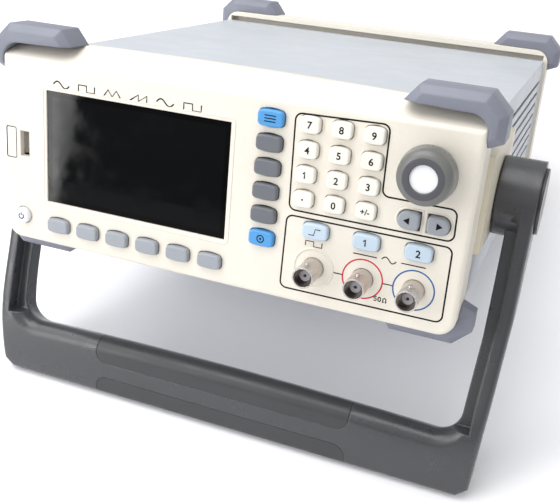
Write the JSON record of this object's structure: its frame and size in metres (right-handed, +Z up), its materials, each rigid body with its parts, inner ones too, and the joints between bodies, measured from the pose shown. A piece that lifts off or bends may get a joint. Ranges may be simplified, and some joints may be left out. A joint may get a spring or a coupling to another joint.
{
  "type": "function generator",
  "caption": "Benchtop function generator with a display, keys, rotary knob and BNC sockets, leaning back on its swinging carrying handle.",
  "frame": {"origin": "on the floor, under the middle of the overall box", "axes": "+X to the right of someone facing the panel, +Y from the panel to the back, +Z up; the case leans back 18 degrees on its handle"},
  "size_m": [0.2752, 0.31, 0.1895],
  "materials": {
    "ivory_plastic": "fine moulded grain",
    "cover_paint": "satin powder coat",
    "guard_rubber": "satin",
    "handle_plastic": "fine moulded grain",
    "grip_rubber": "matt",
    "display_glass": "polished",
    "board_green": "satin",
    "dark_plastic": "satin",
    "nickel": "bright nickel plate",
    "steel": "plain",
    "white_plastic": "satin",
    "knob_grey": "satin",
    "soft_key_grey": "satin",
    "side_key_grey": "satin",
    "key_blue": "satin",
    "key_pale": "satin",
    "key_white": "satin"
  },
  "bodies": {
    "case": {"bnc_insulators": "white_plastic", "bnc_jacks": "nickel", "bottom_cover": "cover_paint", "case_screws": "steel", "cooling_fan": "dark_plastic", "display_window": "display_glass", "encoder": "steel", "front_bezel": "ivory_plastic", "front_board": "board_green", "front_corner_guards": "guard_rubber", "key_switches": "dark_plastic", "lcd_module": "board_green", "main_board": "board_green", "mains_inlet": "dark_plastic", "pivot_mounts": "ivory_plastic", "power_board": "board_green", "rear_bezel": "ivory_plastic", "rear_bnc_jacks": "nickel", "rear_corner_guards": "guard_rubber", "top_cover": "cover_paint", "usb_port": "nickel"},
    "handle": {"handle_bow": "handle_plastic", "grip_pads": "grip_rubber", "pivot_caps": "handle_plastic"},
    "encoder_turn": {"encoder_rotor": "dark_plastic"},
    "knob": {"knob": "knob_grey", "knob_cap": "white_plastic", "knob_shaft": "steel"},
    "fan": {"fan_rotor": "dark_plastic"},
    "mains_rocker": {"mains_switch": "dark_plastic"},
    "channel_1_key_cap": {"channel_1_key": "key_pale"},
    "channel_2_key_cap": {"channel_2_key": "key_pale"},
    "key_0_cap": {"key_0": "key_white"},
    "key_1_cap": {"key_1": "key_white"},
    "key_2_cap": {"key_2": "key_white"},
    "key_3_cap": {"key_3": "key_white"},
    "key_4_cap": {"key_4": "key_white"},
    "key_5_cap": {"key_5": "key_white"},
    "key_6_cap": {"key_6": "key_white"},
    "key_7_cap": {"key_7": "key_white"},
    "key_8_cap": {"key_8": "key_white"},
    "key_9_cap": {"key_9": "key_white"},
    "key_point_cap": {"key_point": "key_white"},
    "key_sign_cap": {"key_sign": "key_white"},
    "left_key_cap": {"left_key": "soft_key_grey"},
    "menu_key_cap": {"menu_key": "key_blue"},
    "power_key_cap": {"power_key": "white_plastic"},
    "right_key_cap": {"right_key": "soft_key_grey"},
    "side_key_1_cap": {"side_key_1": "side_key_grey"},
    "side_key_2_cap": {"side_key_2": "side_key_grey"},
    "side_key_3_cap": {"side_key_3": "side_key_grey"},
    "side_key_4_cap": {"side_key_4": "side_key_grey"},
    "soft_key_1_cap": {"soft_key_1": "soft_key_grey"},
    "soft_key_2_cap": {"soft_key_2": "soft_key_grey"},
    "soft_key_3_cap": {"soft_key_3": "soft_key_grey"},
    "soft_key_4_cap": {"soft_key_4": "soft_key_grey"},
    "soft_key_5_cap": {"soft_key_5": "soft_key_grey"},
    "soft_key_6_cap": {"soft_key_6": "soft_key_grey"},
    "trigger_key_cap": {"trigger_key": "key_pale"},
    "utility_key_cap": {"utility_key": "key_blue"}
  },
  "joints": [
    {"name": "handle_swing", "type": "hinge", "parent": "case", "child": "handle", "pos_m": [0, -0.0707, 0.1202], "axis": [1, 0, 0], "range_deg": [-212, 54]},
    {"name": "knob_turn", "type": "hinge", "parent": "case", "child": "encoder_turn", "pos_m": [0.0951, -0.12109, 0.15928], "axis": [0, 0.9511, -0.309], "continuous": true},
    {"name": "knob_push", "type": "slide", "parent": "encoder_turn", "child": "knob", "axis": [0, 0.9511, -0.309], "range_m": [0, 0.0005], "stiffness_N_per_m": 6000, "springref_m": -0.0005},
    {"name": "fan_spin", "type": "hinge", "parent": "case", "child": "fan", "pos_m": [-0.015, 0.11383, 0.05709], "axis": [0, 0.9511, -0.309], "continuous": true},
    {"name": "mains_rock", "type": "hinge", "parent": "case", "child": "mains_rocker", "pos_m": [0.078, 0.12625, 0.06619], "axis": [1, 0, 0], "range_deg": [-16, 0]},
    {"name": "channel_1_key_press", "type": "slide", "parent": "case", "child": "channel_1_key_cap", "axis": [0, 0.9511, -0.309], "range_m": [0, 0.0012], "stiffness_N_per_m": 800, "springref_m": -0.0006},
    {"name": "channel_2_key_press", "type": "slide", "parent": "case", "child": "channel_2_key_cap", "axis": [0, 0.9511, -0.309], "range_m": [0, 0.0012], "stiffness_N_per_m": 800, "springref_m": -0.0006},
    {"name": "key_0_press", "type": "slide", "parent": "case", "child": "key_0_cap", "axis": [0, 0.9511, -0.309], "range_m": [0, 0.0012], "stiffness_N_per_m": 800, "springref_m": -0.0006},
    {"name": "key_1_press", "type": "slide", "parent": "case", "child": "key_1_cap", "axis": [0, 0.9511, -0.309], "range_m": [0, 0.0012], "stiffness_N_per_m": 800, "springref_m": -0.0006},
    {"name": "key_2_press", "type": "slide", "parent": "case", "child": "key_2_cap", "axis": [0, 0.9511, -0.309], "range_m": [0, 0.0012], "stiffness_N_per_m": 800, "springref_m": -0.0006},
    {"name": "key_3_press", "type": "slide", "parent": "case", "child": "key_3_cap", "axis": [0, 0.9511, -0.309], "range_m": [0, 0.0012], "stiffness_N_per_m": 800, "springref_m": -0.0006},
    {"name": "key_4_press", "type": "slide", "parent": "case", "child": "key_4_cap", "axis": [0, 0.9511, -0.309], "range_m": [0, 0.0012], "stiffness_N_per_m": 800, "springref_m": -0.0006},
    {"name": "key_5_press", "type": "slide", "parent": "case", "child": "key_5_cap", "axis": [0, 0.9511, -0.309], "range_m": [0, 0.0012], "stiffness_N_per_m": 800, "springref_m": -0.0006},
    {"name": "key_6_press", "type": "slide", "parent": "case", "child": "key_6_cap", "axis": [0, 0.9511, -0.309], "range_m": [0, 0.0012], "stiffness_N_per_m": 800, "springref_m": -0.0006},
    {"name": "key_7_press", "type": "slide", "parent": "case", "child": "key_7_cap", "axis": [0, 0.9511, -0.309], "range_m": [0, 0.0012], "stiffness_N_per_m": 800, "springref_m": -0.0006},
    {"name": "key_8_press", "type": "slide", "parent": "case", "child": "key_8_cap", "axis": [0, 0.9511, -0.309], "range_m": [0, 0.0012], "stiffness_N_per_m": 800, "springref_m": -0.0006},
    {"name": "key_9_press", "type": "slide", "parent": "case", "child": "key_9_cap", "axis": [0, 0.9511, -0.309], "range_m": [0, 0.0012], "stiffness_N_per_m": 800, "springref_m": -0.0006},
    {"name": "key_point_press", "type": "slide", "parent": "case", "child": "key_point_cap", "axis": [0, 0.9511, -0.309], "range_m": [0, 0.0012], "stiffness_N_per_m": 800, "springref_m": -0.0006},
    {"name": "key_sign_press", "type": "slide", "parent": "case", "child": "key_sign_cap", "axis": [0, 0.9511, -0.309], "range_m": [0, 0.0012], "stiffness_N_per_m": 800, "springref_m": -0.0006},
    {"name": "left_key_press", "type": "slide", "parent": "case", "child": "left_key_cap", "axis": [0, 0.9511, -0.309], "range_m": [0, 0.0012], "stiffness_N_per_m": 800, "springref_m": -0.0006},
    {"name": "menu_key_press", "type": "slide", "parent": "case", "child": "menu_key_cap", "axis": [0, 0.9511, -0.309], "range_m": [0, 0.0012], "stiffness_N_per_m": 800, "springref_m": -0.0006},
    {"name": "power_key_press", "type": "slide", "parent": "case", "child": "power_key_cap", "axis": [0, 0.9511, -0.309], "range_m": [0, 0.0012], "stiffness_N_per_m": 800, "springref_m": -0.0006},
    {"name": "right_key_press", "type": "slide", "parent": "case", "child": "right_key_cap", "axis": [0, 0.9511, -0.309], "range_m": [0, 0.0012], "stiffness_N_per_m": 800, "springref_m": -0.0006},
    {"name": "side_key_1_press", "type": "slide", "parent": "case", "child": "side_key_1_cap", "axis": [0, 0.9511, -0.309], "range_m": [0, 0.0012], "stiffness_N_per_m": 800, "springref_m": -0.0006},
    {"name": "side_key_2_press", "type": "slide", "parent": "case", "child": "side_key_2_cap", "axis": [0, 0.9511, -0.309], "range_m": [0, 0.0012], "stiffness_N_per_m": 800, "springref_m": -0.0006},
    {"name": "side_key_3_press", "type": "slide", "parent": "case", "child": "side_key_3_cap", "axis": [0, 0.9511, -0.309], "range_m": [0, 0.0012], "stiffness_N_per_m": 800, "springref_m": -0.0006},
    {"name": "side_key_4_press", "type": "slide", "parent": "case", "child": "side_key_4_cap", "axis": [0, 0.9511, -0.309], "range_m": [0, 0.0012], "stiffness_N_per_m": 800, "springref_m": -0.0006},
    {"name": "soft_key_1_press", "type": "slide", "parent": "case", "child": "soft_key_1_cap", "axis": [0, 0.9511, -0.309], "range_m": [0, 0.0012], "stiffness_N_per_m": 800, "springref_m": -0.0006},
    {"name": "soft_key_2_press", "type": "slide", "parent": "case", "child": "soft_key_2_cap", "axis": [0, 0.9511, -0.309], "range_m": [0, 0.0012], "stiffness_N_per_m": 800, "springref_m": -0.0006},
    {"name": "soft_key_3_press", "type": "slide", "parent": "case", "child": "soft_key_3_cap", "axis": [0, 0.9511, -0.309], "range_m": [0, 0.0012], "stiffness_N_per_m": 800, "springref_m": -0.0006},
    {"name": "soft_key_4_press", "type": "slide", "parent": "case", "child": "soft_key_4_cap", "axis": [0, 0.9511, -0.309], "range_m": [0, 0.0012], "stiffness_N_per_m": 800, "springref_m": -0.0006},
    {"name": "soft_key_5_press", "type": "slide", "parent": "case", "child": "soft_key_5_cap", "axis": [0, 0.9511, -0.309], "range_m": [0, 0.0012], "stiffness_N_per_m": 800, "springref_m": -0.0006},
    {"name": "soft_key_6_press", "type": "slide", "parent": "case", "child": "soft_key_6_cap", "axis": [0, 0.9511, -0.309], "range_m": [0, 0.0012], "stiffness_N_per_m": 800, "springref_m": -0.0006},
    {"name": "trigger_key_press", "type": "slide", "parent": "case", "child": "trigger_key_cap", "axis": [0, 0.9511, -0.309], "range_m": [0, 0.0012], "stiffness_N_per_m": 800, "springref_m": -0.0006},
    {"name": "utility_key_press", "type": "slide", "parent": "case", "child": "utility_key_cap", "axis": [0, 0.9511, -0.309], "range_m": [0, 0.0012], "stiffness_N_per_m": 800, "springref_m": -0.0006}
  ]
}
